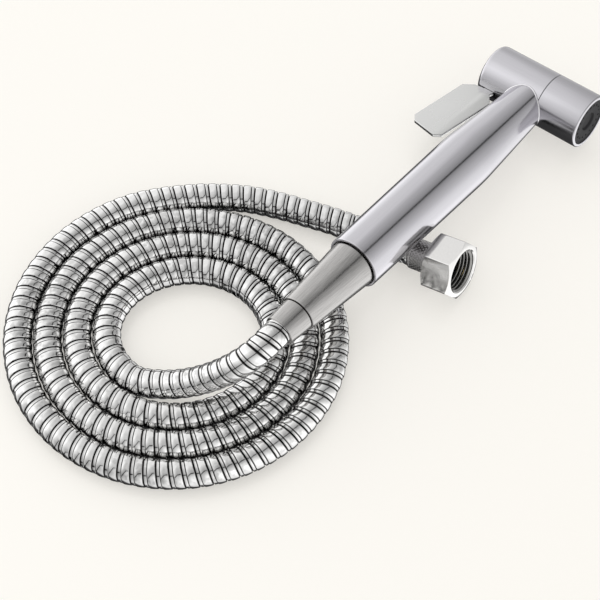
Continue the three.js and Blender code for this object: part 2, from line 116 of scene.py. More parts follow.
GAP = 0.3  # between neighbouring pieces
AXIS = 0.02  # a turned piece's innermost radius where it is solid
LEVER_THICKNESS = 2.0
LEVER_SLOT_HEIGHTS = (15.9, 24.2)
LEVER_SLOT_WIDTH = 2.4
LEVER_PIN_HEIGHT = 18.8
LEVER_NOSE_RADIUS = 1.35
PADDLE = {"x": -16.1, "y": 22.9, "length": 42.0, "half_width": 10.0, "splay": math.radians(9.0)}
PADDLE_NEAR_CHAMFER = 4.8
PADDLE_FAR_CHAMFER = 3.2

# ---- Hose, in metres ----
HOSE_DIAMETER = 0.014
RING_PITCH = 0.0058
HOSE_REST = 0.0071  # height of the hose's middle where it lies on the floor
INTO_FERRULE = 0.002
STRAIGHT_END = 0.005
COIL_MIDDLE = Vector((-0.147921, 0.042167, 0.0))
COIL_TURN = math.radians(48.707)  # the coil's oval is turned by this much
COIL_FROM, COIL_TO = 0.355, 3.75  # turns
COIL_PITCH = 0.0142
COIL_START = (0.0299, 0.0253)  # half axes of the oval at turn 0
POINTS_PER_TURN = 16
# Points listed from the coil's middle: from the handset down onto the coil, and from the coil to the nut.
LEAD_IN_ROUTE = [
    (0.0094, -0.0441, 0.0386),
    (0.0045, -0.0432, 0.0374),
    (-0.0001, -0.0413, 0.0347),
    (-0.0045, -0.0383, 0.0307),
    (-0.0090, -0.0342, 0.0258),
    (-0.0138, -0.0290, 0.0206),
    (-0.0193, -0.0221, 0.0153),
    (-0.0254, -0.0130, 0.0104),
]
TAIL_ROUTE = [
    (0.0770, 0.0304, 0.0071),
    (0.0856, 0.0143, 0.0071),
    (0.0916, 0.0000, 0.0071),
    (0.0956, -0.0097, 0.0071),
    (0.0989, -0.0190, 0.0071),
    (0.1024, -0.0295, 0.0071),
    (0.1049, -0.0395, 0.0071),
]

# ---- Camera, floor and light ----
CAMERA_AIM = Vector((-0.0935, 0.0156, 0.0))
CAMERA_AZIMUTH = math.radians(-48.707)
CAMERA_ELEVATION = math.radians(61.0)
CAMERA_DISTANCE = 0.698
CAMERA_LENS = 85.05
FLOOR_SIZE = 6.0
FLOOR_COLOUR = (0.54, 0.527, 0.498)
FLOOR_GLOW = (0.90, 0.878, 0.83)  # the floor glows like a light table, so that shadows stay faint
FLOOR_GLOW_STRENGTH = 0.56


def supply_place():
    """The supply end's place: local Y along the nut's axis, local Z up."""
    axis = Vector((
        math.cos(NUT_HEADING) * math.cos(NUT_RISE),
        math.sin(NUT_HEADING) * math.cos(NUT_RISE),
        math.sin(NUT_RISE),
    ))
    level = Vector((-math.sin(NUT_HEADING), math.cos(NUT_HEADING), 0.0))
    up = axis.cross(level)
    if up.z < 0:
        up.negate()
    side = axis.cross(up)
    turn = Matrix((side, axis, up)).transposed()
    return Matrix.Translation(NUT_BACK) @ turn.to_4x4()


SUPPLY = supply_place()


def make_camera():
    data = bpy.data.cameras.new("camera")
    data.lens = CAMERA_LENS
    data.sensor_width = 36.0
    data.clip_start = 0.01
    data.dof.use_dof = False
    camera = bpy.data.objects.new("camera", data)
    bpy.context.scene.collection.objects.link(camera)
    back = Vector((
        math.sin(CAMERA_AZIMUTH) * math.cos(CAMERA_ELEVATION),
        -math.cos(CAMERA_AZIMUTH) * math.cos(CAMERA_ELEVATION),
        math.sin(CAMERA_ELEVATION),
    ))
    camera.location = CAMERA_AIM + back * CAMERA_DISTANCE
    camera.rotation_euler = back.to_track_quat("Z", "Y").to_euler()
    bpy.context.scene.camera = camera


# ---- Mesh helpers ----
def link(name, mesh, place):
    piece = bpy.data.objects.new(name, mesh)
    bpy.context.scene.collection.objects.link(piece)
    piece.matrix_world = place
    return piece


def finish_mesh(mesh, sharp_angle=30.0):
    """Faces point outwards, and edges over the angle stay sharp."""
    shape = bmesh.new()
    shape.from_mesh(mesh)
    bmesh.ops.remove_doubles(shape, verts=shape.verts, dist=1e-7)
    bmesh.ops.recalc_face_normals(shape, faces=shape.faces)
    shape.to_mesh(mesh)
    shape.free()
    mesh.shade_smooth()
    mesh.set_sharp_from_angle(angle=math.radians(sharp_angle))


def made_mesh(name, vertices, faces, place, sharp_angle=30.0):
    mesh = bpy.data.meshes.new(name)
    mesh.from_pydata(vertices, [], faces)
    finish_mesh(mesh, sharp_angle)
    return link(name, mesh, place)


def arc(radius, height, size, start, end, steps=6):
    """Points of a round corner: its centre, its radius and its first and last angle in degrees."""
    points = []
    for i in range(steps + 1):
        angle = math.radians(start + (end - start) * i / steps)
        points.append((radius + size * math.cos(angle), height + size * math.sin(angle)))
    return points


def turned(name, profile, place, sides=128, relief=None, closed=True):
    """A piece turned about local Y. relief(angle, height) moves its outer surface out, in millimetres."""
    vertices = []
    for radius, height in profile:
        for i in range(sides):
            angle = 2 * math.pi * i / sides
            out = radius + (relief(angle, height) if relief and radius > TAIL_RADIUS + 0.5 else 0.0)
            vertices.append((out * math.cos(angle) * MM, height * MM, out * math.sin(angle) * MM))
    rows = len(profile)
    faces = []
    for row in range(rows if closed else rows - 1):
        low, high = row * sides, (row + 1) % rows * sides
        for i in range(sides):
            j = (i + 1) % sides
            faces.append((low + i, low + j, high + j, high + i))
    return made_mesh(name, vertices, faces, place)


def prism(name, outline, low, high, place, along="y"):
    """A prism from an outline of points in millimetres; it runs along local Y or local Z."""
    vertices = []
    for level in (low, high):
        for a, b in outline:
            point = (a, level, b) if along == "y" else (a, b, level)
            vertices.append([value * MM for value in point])
    n = len(outline)
    faces = [tuple(range(n)), tuple(range(n, 2 * n))]
    faces += [(i, (i + 1) % n, n + (i + 1) % n, n + i) for i in range(n)]
    return made_mesh(name, vertices, faces, place)


def carve(piece, tools, operation="DIFFERENCE"):
    """Cuts the tools out of a piece, or keeps what is common, and deletes the tools."""
    for tool in tools:
        modifier = piece.modifiers.new("carve", "BOOLEAN")
        modifier.operation = operation
        modifier.solver = "EXACT"
        modifier.object = tool
    bpy.context.view_layer.update()
    made = piece.evaluated_get(bpy.context.evaluated_depsgraph_get())
    mesh = bpy.data.meshes.new_from_object(made)
    piece.modifiers.clear()
    piece.data = mesh
    finish_mesh(mesh)
    for tool in tools:
        bpy.data.objects.remove(tool)
    return piece


def swept(name, points, size, place, sides=10, closed=True):
    """A round bead along a line of points, all in millimetres."""
    line = np.array(points, float)
    ahead = np.roll(line, -1, axis=0) - np.roll(line, 1, axis=0)
    ahead /= np.linalg.norm(ahead, axis=1)[:, None]
    level = np.cross(ahead, (1.0, 0.0, 0.0))
    level /= np.linalg.norm(level, axis=1)[:, None]
    other = np.cross(ahead, level)
    vertices, faces = [], []
    for i, middle in enumerate(line):
        for k in range(sides):
            angle = 2 * math.pi * k / sides
            point = middle + size * (math.cos(angle) * level[i] + math.sin(angle) * other[i])
            vertices.append(point * MM)
    for i in range(len(line) if closed else len(line) - 1):
        low, high = i * sides, (i + 1) % len(line) * sides
        for k in range(sides):
            j = (k + 1) % sides
            faces.append((low + k, low + j, high + j, high + k))
    return made_mesh(name, vertices, faces, place, 60.0)


# ---- Materials ----
def new_material(name, colour, metallic, roughness):
    material = bpy.data.materials.new(name)
    material.use_nodes = True
    shader = material.node_tree.nodes["Principled BSDF"]
    shader.inputs["Base Color"].default_value = (*colour, 1.0)
    shader.inputs["Metallic"].default_value = metallic
    shader.inputs["Roughness"].default_value = roughness
    return material, shader


def grain(tree, stretch, detail=3.0):
    """A noise of the piece's own coordinates; stretch is its grains per metre along each axis."""
    place = tree.nodes.new("ShaderNodeTexCoord")
    mapping = tree.nodes.new("ShaderNodeMapping")
    noise = tree.nodes.new("ShaderNodeTexNoise")
    mapping.inputs["Scale"].default_value = stretch
    noise.inputs["Scale"].default_value = 1.0
    noise.inputs["Detail"].default_value = detail
    tree.links.new(place.outputs["Object"], mapping.inputs["Vector"])
    tree.links.new(mapping.outputs["Vector"], noise.inputs["Vector"])
    return noise.outputs["Fac"]


def spread_value(tree, factor, low, high):
    spread = tree.nodes.new("ShaderNodeMapRange")
    spread.inputs["From Min"].default_value = 0.3
    spread.inputs["From Max"].default_value = 0.7
    spread.inputs["To Min"].default_value = low
    spread.inputs["To Max"].default_value = high
    tree.links.new(factor, spread.inputs["Value"])
    return spread.outputs["Result"]


def spread_colour(tree, factor, low, high):
    mix = tree.nodes.new("ShaderNodeMix")
    mix.data_type = "RGBA"
    mix.inputs["A"].default_value = (*low, 1.0)
    mix.inputs["B"].default_value = (*high, 1.0)
    tree.links.new(spread_value(tree, factor, 0.0, 1.0), mix.inputs["Factor"])
    return mix.outputs["Result"]


def add_bump(tree, shader, height, depth):
    bump = tree.nodes.new("ShaderNodeBump")
    bump.inputs["Strength"].default_value = 1.0
    bump.inputs["Distance"].default_value = depth
    tree.links.new(height, bump.inputs["Height"])
    tree.links.new(bump.outputs["Normal"], shader.inputs["Normal"])


def metal(name, colour, roughness, stretch, contrast=0.06, roughness_spread=0.03, depth=0.000002):
    """Steel or brass whose brushing runs along the axis with the smallest stretch."""
    material, shader = new_material(name, colour, 1.0, roughness)
    tree = material.node_tree
    brushing = grain(tree, stretch)
    dark = tuple(value * (1 - contrast) for value in colour)
    light = tuple(min(1.0, value * (1 + contrast)) for value in colour)
    tree.links.new(spread_colour(tree, brushing, dark, light), shader.inputs["Base Color"])
    low, high = roughness - roughness_spread, roughness + roughness_spread
    tree.links.new(spread_value(tree, brushing, low, high), shader.inputs["Roughness"])
    add_bump(tree, shader, brushing, depth)
    return material


def soft_material(name, colour, roughness, grains, depth):
    """Rubber or moulded plastic with a fine grain."""
    material, shader = new_material(name, colour, 0.0, roughness)
    tree = material.node_tree
    texture = grain(tree, (grains, grains, grains), 2.0)
    light = tuple(min(1.0, value * 1.15 + 0.004) for value in colour)
    tree.links.new(spread_colour(tree, texture, colour, light), shader.inputs["Base Color"])
    gloss = spread_value(tree, texture, roughness - 0.06, roughness + 0.06)
    tree.links.new(gloss, shader.inputs["Roughness"])
    add_bump(tree, shader, texture, depth)
    return material


def ranged(tree, value, start, end):
    """A share that goes from 0 at the first value to 1 at the second."""
    spread = tree.nodes.new("ShaderNodeMapRange")
    spread.inputs["From Min"].default_value = start
    spread.inputs["From Max"].default_value = end
    tree.links.new(value, spread.inputs["Value"])
    return spread.outputs["Result"]


def combined(tree, operation, first, second):
    node = tree.nodes.new("ShaderNodeMath")
    node.operation = operation
    for socket, value in zip(node.inputs, (first, second)):
        if isinstance(value, float):
            socket.default_value = value
        else:
            tree.links.new(value, socket)
    return node.outputs["Value"]


# Near-black for the hose's painted shade and painted dark reflections.
PAINTED_DARK_COLOUR = (0.015, 0.014, 0.013, 1.0)


def hose_material():
    """Polished strip, with painted shade in the grooves between its turns and close to the floor, and
    painted dark reflections in scattered streaks.
    """
    material, shader = new_material("hose_strip", (0.80, 0.795, 0.785), 1.0, 0.08)
    tree = material.node_tree
    smudge = grain(tree, (140.0, 140.0, 140.0))
    polished = spread_colour(tree, smudge, (0.80, 0.795, 0.785), (0.93, 0.927, 0.92))
    # Painted shade in the grooves between the strip's turns, read from the mesh's attribute.
    groove_shade = tree.nodes.new("ShaderNodeAttribute")
    groove_shade.attribute_name = "groove_shade"
    # Painted dark reflections in scattered streaks along the hose.
    zones = ranged(tree, grain(tree, (22.0, 22.0, 22.0), 1.0), 0.46, 0.58)
    streaks = ranged(tree, grain(tree, (330.0, 330.0, 330.0), 1.0), 0.44, 0.60)
    painted_reflection_streaks = combined(tree, "MULTIPLY", combined(tree, "MULTIPLY", zones, streaks), 0.3)
    # Painted shade on the hose's lower side, close to the floor.
    place = tree.nodes.new("ShaderNodeTexCoord")
    height = tree.nodes.new("ShaderNodeSeparateXYZ")
    tree.links.new(place.outputs["Object"], height.inputs["Vector"])
    painted_floor_shade = ranged(tree, height.outputs["Z"], HOSE_REST + 0.003, HOSE_REST - 0.002)
    low = combined(tree, "MULTIPLY", painted_floor_shade, 0.95)
    dark = combined(tree, "MAXIMUM", combined(tree, "MAXIMUM", groove_shade.outputs["Fac"], low), painted_reflection_streaks)
    mix = tree.nodes.new("ShaderNodeMix")
    mix.data_type = "RGBA"
    mix.inputs["B"].default_value = PAINTED_DARK_COLOUR
    tree.links.new(polished, mix.inputs["A"])
    tree.links.new(dark, mix.inputs["Factor"])
    tree.links.new(mix.outputs["Result"], shader.inputs["Base Color"])
    tree.links.new(spread_value(tree, smudge, 0.05, 0.11), shader.inputs["Roughness"])
    return material


LENGTHWISE = (1600.0, 18.0, 1600.0)
EVEN = (900.0, 900.0, 900.0)
COARSE = (60.0, 60.0, 60.0)
materials = {
    "satin_steel": metal("satin_steel", (0.60, 0.59, 0.62), 0.155, LENGTHWISE, 0.02, 0.02, 0.0000008),
    "brushed_steel": metal("brushed_steel", (0.46, 0.45, 0.44), 0.22, LENGTHWISE, 0.10, 0.05, 0.000004),
    "nut_steel": metal("nut_steel", (0.78, 0.77, 0.755), 0.08, EVEN, 0.02, 0.02, 0.0000002),
    # The thread's steel is much darker than the nut's, as painted shade inside the nut's socket.
    "painted_shade_thread_steel": metal("painted_shade_thread_steel", (0.30, 0.295, 0.285), 0.18, EVEN),
    "lever_steel": metal("lever_steel", (0.72, 0.72, 0.71), 0.27, COARSE, 0.015, 0.01, 0.0000002),
    "plain_steel": metal("plain_steel", (0.62, 0.61, 0.60), 0.25, EVEN),
    "brass": metal("brass", (0.62, 0.49, 0.25), 0.25, EVEN),
    # The weld's steel is lighter than the shell's, as a painted highlight along the joint.
    "weld_highlight_steel": metal("weld_highlight_steel", (0.86, 0.85, 0.87), 0.22, EVEN, 0.08, 0.05, 0.00002),
    "spray_rubber": soft_material("spray_rubber", (0.018, 0.018, 0.020), 0.75, 1500.0, 0.00001),
    "seal_rubber": soft_material("seal_rubber", (0.020, 0.020, 0.020), 0.6, 1500.0, 0.00001),
    "white_plastic": soft_material("white_plastic", (0.80, 0.79, 0.76), 0.45, 700.0, 0.00001),
    "hose_core": soft_material("hose_core", (0.12, 0.12, 0.12), 0.6, 700.0, 0.00001),
    "hose_steel": hose_material(),
}


def dress(piece, material, body, *nodes, slot=None):
    """Gives a piece its material, the body it rides on, and the CAD nodes that it stands for."""
    piece.data.materials.clear()
    piece.data.materials.append(materials[material])
    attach(piece, body)
    if nodes:
        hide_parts(*nodes)
    return piece


# ---- Hose ----
def coil_point(turn):
    """A point of the hose's coil: an oval that grows by one pitch in a turn."""
    angle = -2 * math.pi * turn
    across = (COIL_START[0] + COIL_PITCH * turn) * math.cos(angle)
    deep = (COIL_START[1] + COIL_PITCH * turn) * math.sin(angle)
    point = Vector((across, deep, HOSE_REST))
    return COIL_MIDDLE + Matrix.Rotation(-COIL_TURN, 3, "Z") @ point


def hose_route():
    """The points that the hose passes through, from inside the handset's ferrule to inside the nut's."""
    out = HANDLE @ Vector((0.0, (FERRULE_END + GAP) * MM, 0.0))
    out_way = (HANDLE.to_3x3() @ Vector((0.0, 1.0, 0.0))).normalized()
    end = SUPPLY @ Vector((0.0, -(SUPPLY_FERRULE_LENGTH + GAP) * MM, 0.0))
    end_way = (SUPPLY.to_3x3() @ Vector((0.0, 1.0, 0.0))).normalized()
    steps = round((COIL_TO - COIL_FROM) * POINTS_PER_TURN)
    route = [out - out_way * INTO_FERRULE, out, out + out_way * STRAIGHT_END]
    route += [COIL_MIDDLE + Vector(point) for point in LEAD_IN_ROUTE]
    route += [coil_point(COIL_FROM + (COIL_TO - COIL_FROM) * i / steps) for i in range(steps + 1)]
    route += [COIL_MIDDLE + Vector(point) for point in TAIL_ROUTE]
    route += [end - end_way * STRAIGHT_END, end, end + end_way * INTO_FERRULE]
    return out, np.array([list(point) for point in route])


def smooth_line(route, per_span=14):
    """A centripetal Catmull-Rom curve through the route's points."""
    points = np.vstack([2 * route[0] - route[1], route, 2 * route[-1] - route[-2]])
    line = []
    for i in range(1, len(points) - 2):
        p0, p1, p2, p3 = points[i - 1 : i + 3]
        t0 = 0.0
        t1 = t0 + np.linalg.norm(p1 - p0) ** 0.5
        t2 = t1 + np.linalg.norm(p2 - p1) ** 0.5
        t3 = t2 + np.linalg.norm(p3 - p2) ** 0.5
        for step in range(per_span):
            t = t1 + (t2 - t1) * step / per_span
            a1 = (t1 - t) / (t1 - t0) * p0 + (t - t0) / (t1 - t0) * p1
            a2 = (t2 - t) / (t2 - t1) * p1 + (t - t1) / (t2 - t1) * p2
            a3 = (t3 - t) / (t3 - t2) * p2 + (t - t2) / (t3 - t2) * p3
            b1 = (t2 - t) / (t2 - t0) * a1 + (t - t0) / (t2 - t0) * a2
            b2 = (t3 - t) / (t3 - t1) * a2 + (t - t1) / (t3 - t1) * a3
            line.append((t2 - t) / (t2 - t1) * b1 + (t - t1) / (t2 - t1) * b2)
    line.append(route[-1])
    return np.array(line)


def even_line(line, step):
    """The line again with even steps, and how far along it each point is."""
    along = np.concatenate([[0.0], np.cumsum(np.linalg.norm(np.diff(line, axis=0), axis=1))])
    at = np.linspace(0.0, along[-1], round(along[-1] / step) + 1)
    return np.stack([np.interp(at, along, line[:, k]) for k in range(3)], axis=1), at


def carried_frames(line):
    """Two directions across the line at each point, carried along it without twist."""
    ahead = np.gradient(line, axis=0)
    ahead /= np.linalg.norm(ahead, axis=1)[:, None]
    first = np.empty_like(line)
    start = np.cross(ahead[0], (0.0, 0.0, 1.0))
    first[0] = start / np.linalg.norm(start)
    for i in range(1, len(line)):
        carried = first[i - 1] - ahead[i] * (first[i - 1] @ ahead[i])
        first[i] = carried / np.linalg.norm(carried)
    return first, np.cross(ahead, first)


# One turn of the strip: share of the pitch, radius as a share of the hose's, and how much painted shade it
# has in its grooves.
STRIP_PROFILE = [
    (0.000, 0.870, 1.0),
    (0.065, 0.870, 1.0),
    (0.085, 0.950, 0.6),
    (0.130, 0.975, 0.0),
    (0.400, 0.996, 0.0),
    (0.640, 1.000, 0.0),
    (0.680, 0.985, 0.3),
    (0.700, 0.930, 1.0),
    (0.740, 0.940, 1.0),
    (0.770, 0.962, 0.0),
    (0.950, 0.958, 0.3),
]
HOSE_SIDES = 40


def make_hose():
    """The strip-wound hose: one strip wound round the centreline, its turns hooked into each other."""
    exit_point, route = hose_route()
    line, at = even_line(smooth_line(route), 0.001)
    first, second = carried_frames(line)
    length = at[-1]
    turns = math.ceil(length / RING_PITCH) + 1
    shares, radii, groove_shades = (np.array(column) for column in zip(*STRIP_PROFILE))
    rows = turns * len(shares)
    share = np.tile(shares, turns) + np.repeat(np.arange(turns), len(shares)) - 1.0
    angle = 2 * math.pi * np.arange(HOSE_SIDES) / HOSE_SIDES
    where = (share[:, None] + np.arange(HOSE_SIDES)[None, :] / HOSE_SIDES) * RING_PITCH
    where = np.clip(where, 0.0, length)
    radius = np.tile(radii, turns)[:, None] * HOSE_DIAMETER / 2
    spot = []
    for k in range(3):
        middle = np.interp(where, at, line[:, k])
        a = np.interp(where, at, first[:, k])
        b = np.interp(where, at, second[:, k])
        spot.append(middle + radius * (np.cos(angle) * a + np.sin(angle) * b))
    vertices = np.stack(spot, axis=-1).reshape(-1, 3)
    faces = []
    for row in range(rows - 1 - len(shares)):
        for i in range(HOSE_SIDES):
            if i < HOSE_SIDES - 1:
                low, high = row * HOSE_SIDES + i, (row + 1) * HOSE_SIDES + i
                faces.append((low, low + 1, high + 1, high))
            else:
                next_low = (row + len(shares)) * HOSE_SIDES
                low, high = row * HOSE_SIDES + i, (row + 1) * HOSE_SIDES + i
                faces.append((low, next_low, next_low + HOSE_SIDES, high))
    mesh = bpy.data.meshes.new("hose")
    mesh.from_pydata(vertices.tolist(), [], faces)
    # The painted shade of the grooves rides on the mesh as an attribute.
    groove_shade = mesh.attributes.new("groove_shade", "FLOAT", "POINT")
    groove_shade.data.foreach_set("value", np.repeat(np.tile(groove_shades, turns), HOSE_SIDES).astype(np.float32))
    finish_mesh(mesh, 28.0)
    hose = link("hose", mesh, Matrix.Identity(4))
    dress(hose, "hose_steel", "handset", "hose_lead_in", "hose_coil", "hose_tail")
    path = even_line(line, 0.003)[0]
    return hose, exit_point, path.tolist()


# ---- Head ----
def make_head():
    """The casing: round rear corner, lever slot and bore."""
    fillet = arc(HEAD_RADIUS - REAR_FILLET, HEAD_REAR - REAR_FILLET, REAR_FILLET, 90, 0, 10)
    profile = [
        (AXIS, HEAD_REAR),
        *fillet,
        (HEAD_RADIUS, HEAD_SEAM + SEAM_CHAMFER),
        (HEAD_RADIUS - SEAM_CHAMFER, HEAD_SEAM),
        (NIPPLE_RADIUS, HEAD_SEAM),
        (NIPPLE_RADIUS, NIPPLE_END),
        (HEAD_BORE, NIPPLE_END),
        (HEAD_BORE, HEAD_REAR - REAR_WALL),
        (AXIS, HEAD_REAR - REAR_WALL),
    ]
    casing = turned("head_casing", profile, HANDSET, 144)
    low, high = LEVER_SLOT_HEIGHTS
    inner, outer = -HEAD_RADIUS + 5.4, -HEAD_RADIUS - 4.6
    slot_outline = [(outer, low), (inner, low), (inner, high), (outer, high)]
    slot = prism("lever_slot", slot_outline, -LEVER_SLOT_WIDTH / 2, LEVER_SLOT_WIDTH / 2, HANDSET, "z")
    carve(casing, [slot])
    dress(casing, "satin_steel", "handset", "head_body")


def make_nozzle():
    """The sleeve with its bright front rim."""
    profile = [
        (SLEEVE_BORE, HEAD_SEAM - GAP),
        (HEAD_RADIUS - SEAM_CHAMFER, HEAD_SEAM - GAP),
        (HEAD_RADIUS, HEAD_SEAM - GAP - SEAM_CHAMFER),
        *arc(HEAD_RADIUS - RIM_ROUND, HEAD_FRONT + RIM_ROUND, RIM_ROUND, 0, -90, 8),
        (SLEEVE_LIP + 0.2, HEAD_FRONT),
        (SLEEVE_LIP, HEAD_FRONT + 0.2),
        (SLEEVE_LIP, HEAD_FRONT + 1.0),
        (SLEEVE_BORE, HEAD_FRONT + 1.0),
    ]
    sleeve = turned("nozzle_sleeve_shell", profile, HANDSET, 144)
    dress(sleeve, "satin_steel", "handset", "nozzle_sleeve")


def make_spray_plate():
    """A dark rubber disc: a raised edge, a ring of jets and a round dimple."""
    face = HEAD_FRONT + 0.5
    back = HEAD_FRONT + 3.2
    shoulder = HEAD_FRONT + 1.3
    edge = SLEEVE_LIP - GAP
    floor = face + 0.25
    dimple_floor = face + 1.4
    profile = [
        (AXIS, back),
        (SLEEVE_BORE - GAP, back),
        (SLEEVE_BORE - GAP, shoulder),
        (edge, shoulder),
        (edge, face + 0.1),
        (edge - 0.1, face),
        (edge - 0.7, face),
        (edge - 1.0, floor),
        (DIMPLE_RADIUS, floor),
        (DIMPLE_RADIUS - 0.3, floor + 0.1),
        (DIMPLE_RADIUS - 0.9, dimple_floor),
        (AXIS, dimple_floor),
    ]
    plate = turned("spray_face", profile, HANDSET, 96)
    jets = []
    outline = arc(0.0, 0.0, JET_RADIUS, 0, 342, 19)
    for i in range(JETS):
        angle = 2 * math.pi * (i + 0.5) / JETS
        place = Vector((JET_CIRCLE * math.cos(angle) * MM, 0.0, JET_CIRCLE * math.sin(angle) * MM))
        jets.append(prism(f"jet_{i}", outline, face - 1.0, face + 2.0, HANDSET @ Matrix.Translation(place)))
    carve(plate, jets)
    dress(plate, "spray_rubber", "handset", "spray_plate")


def lever_outline():
    """The nose in the stem's yoke, the pin's boss, the neck and the eight-sided paddle."""
    splay = PADDLE["splay"]
    length, half = PADDLE["length"], PADDLE["half_width"]
    along = (-math.cos(splay), math.sin(splay))
    across = (-math.sin(splay), -math.cos(splay))

    def at(far, side):
        x = PADDLE["x"] + along[0] * far + across[0] * side
        y = PADDLE["y"] + along[1] * far + across[1] * side
        return (x, y)

    return [
        *arc(0.0, LEVER_PIN_HEIGHT, LEVER_NOSE_RADIUS, -90, 90, 10),
        (-4.6, LEVER_PIN_HEIGHT + 1.2),
        (-6.6, LEVER_PIN_HEIGHT + 2.3),
        (-9.6, LEVER_PIN_HEIGHT + 2.6),
        (-14.6, 23.0),
        at(0, -(half - PADDLE_NEAR_CHAMFER)),
        at(PADDLE_NEAR_CHAMFER, -half),
        at(length - PADDLE_FAR_CHAMFER, -half),
        at(length, -(half - PADDLE_FAR_CHAMFER)),
        at(length, half - PADDLE_FAR_CHAMFER),
        at(length - PADDLE_FAR_CHAMFER, half),
        at(PADDLE_NEAR_CHAMFER, half),
        at(0, half - PADDLE_NEAR_CHAMFER),
        (-14.6, 17.0),
        (-9.6, LEVER_PIN_HEIGHT - 2.3),
        (-6.6, LEVER_PIN_HEIGHT - 2.0),
        (-4.6, LEVER_PIN_HEIGHT - 1.2),
    ]


def make_lever():
    """The flat lever, its two faces edged with a small round."""
    half = LEVER_THICKNESS / 2
    plate = prism("lever_plate", lever_outline(), -half, half, HANDSET, "z")
    shape = bmesh.new()
    shape.from_mesh(plate.data)
    rims = [e for e in shape.edges if abs(e.verts[0].co.z - e.verts[1].co.z) < 1e-6]
    bmesh.ops.bevel(shape, geom=rims, offset=0.35 * MM, segments=3, affect="EDGES", profile=0.5)
    shape.to_mesh(plate.data)
    shape.free()
    finish_mesh(plate.data, 40.0)
    dress(plate, "lever_steel", "lever", "lever")


# ---- Handle ----
def make_handle():
    """The tapered shell, with a softly rounded shoulder and a rolled end."""
    slope_up = (SHOULDER_RADIUS - HANDLE_TOP_RADIUS) / (HANDLE_SHOULDER - HANDLE_TAPER)
    slope_down = (SHOULDER_RADIUS - HANDLE_END_RADIUS) / (HANDLE_END - HANDLE_SHOULDER)
    before = (SHOULDER_RADIUS - slope_up * SHOULDER_SOFTNESS, HANDLE_SHOULDER - SHOULDER_SOFTNESS)
    after = (SHOULDER_RADIUS - slope_down * SHOULDER_SOFTNESS, HANDLE_SHOULDER + SHOULDER_SOFTNESS)
    corner = (SHOULDER_RADIUS, HANDLE_SHOULDER)
    steps = 8
    shoulder = []
    for i in range(steps + 1):
        share = i / steps
        weights = ((1 - share) ** 2, 2 * share * (1 - share), share**2)
        points = zip(before, corner, after)
        shoulder.append(tuple(sum(w * v for w, v in zip(weights, values)) for values in points))
    inside = HANDLE_END_RADIUS - HANDLE_WALL
    profile = [
        (HANDLE_TOP_RADIUS - HANDLE_WALL, HANDLE_TOP),
        (HANDLE_TOP_RADIUS, HANDLE_TOP),
        (HANDLE_TOP_RADIUS, HANDLE_TAPER),
        *shoulder,
        *arc(HANDLE_END_RADIUS - 0.5, HANDLE_END - 0.5, 0.5, 0, 90, 6),
        (inside + 0.2, HANDLE_END),
        (inside, HANDLE_END - 0.2),
        (SHOULDER_RADIUS - HANDLE_WALL, HANDLE_SHOULDER),
        (HANDLE_TOP_RADIUS - HANDLE_WALL, HANDLE_TAPER),
    ]
    shell = turned("handle_shell", profile, HANDLE, 160)
    dress(shell, "satin_steel", "handset", "handle_tube")


def make_weld():
    """The bead where the handle's shell is welded to the head, lighter than the shell as a painted
    highlight.
    """
    points = []
    for i in range(96):
        angle = 2 * math.pi * i / 96
        y = (HANDLE_TOP_RADIUS + 0.05) * math.cos(angle)
        z = (HANDLE_TOP_RADIUS + 0.05) * math.sin(angle)
        points.append((-math.sqrt(HEAD_RADIUS**2 - z**2) - 0.05, y, z))
    bead = swept("weld_bead", points, WELD_RADIUS, HANDSET)
    dress(bead, "weld_highlight_steel", "handset", slot="satin_steel")


def make_cone_nut():
    profile = [
        (CONE_THREAD_RADIUS, CONE_START),
        (CONE_TOP_RADIUS - 0.3, CONE_START),
        *arc(CONE_TOP_RADIUS - 0.4, CONE_START + 0.5, 0.4, -60, 0, 4),
        *arc(CONE_TIP_RADIUS - 0.5, CONE_END - 0.6, 0.6, 10, 90, 6),
        (TAIL_CLEARANCE, CONE_END),
        (TAIL_CLEARANCE, CONE_WEB),
        (CONE_SOCKET_RADIUS, CONE_WEB),
        (CONE_SOCKET_RADIUS, CONE_THREAD_END),
        (CONE_THREAD_RADIUS, CONE_THREAD_END),
    ]
    return dress(turned("cone_nut_shell", profile, HANDLE, 128), "brushed_steel", "cone_nut", "cone_nut")


def make_handset_ferrule():
    start = CONE_END + 0.4
    profile = [
        (TAIL_CLEARANCE, start),
        (8.4, start),
        *arc(8.3, start + 0.3, 0.3, -60, 0, 3),
        (8.35, CONE_END + 6.0),
        (7.9, FERRULE_END - 1.2),
        *arc(7.45, FERRULE_END - 0.35, 0.35, 0, 90, 4),
        (TAIL_CLEARANCE, FERRULE_END),
    ]
    ferrule = turned("handset_ferrule_shell", profile, HANDLE, 128)
    return dress(ferrule, "brushed_steel", "handset", "handset_ferrule")


# ---- Supply end ----
KNURL_TEETH = 30
KNURL_DEPTH = 0.22
KNURL_SLANT = 2.6  # radians of a tooth's phase per millimetre along the ferrule


def knurl(angle, height):
    """A diamond knurl between the ferrule's plain ends."""
    if not -SUPPLY_FERRULE_LENGTH + 1.4 < height < -1.2:
        return 0.0
    one = math.cos(KNURL_TEETH * angle + KNURL_SLANT * height)
    other = math.cos(KNURL_TEETH * angle - KNURL_SLANT * height)
    return KNURL_DEPTH * (max(one, -0.2) * max(other, -0.2) - 0.5)


def make_supply_ferrule():
    rows = 56
    top, bottom = -GAP - 0.5, -SUPPLY_FERRULE_LENGTH + 0.6
    outside = [(SUPPLY_FERRULE_RADIUS, bottom + (top - bottom) * i / rows) for i in range(rows + 1)]
    profile = [
        (TAIL_CLEARANCE, -SUPPLY_FERRULE_LENGTH),
        (SUPPLY_FERRULE_RADIUS - 0.4, -SUPPLY_FERRULE_LENGTH),
        *outside,
        (SUPPLY_FERRULE_RADIUS - 0.3, -GAP),
        (TAIL_CLEARANCE, -GAP),
    ]
    ferrule = turned("supply_ferrule_shell", profile, SUPPLY, 240, knurl)
    return dress(ferrule, "brushed_steel", "handset", "supply_ferrule")


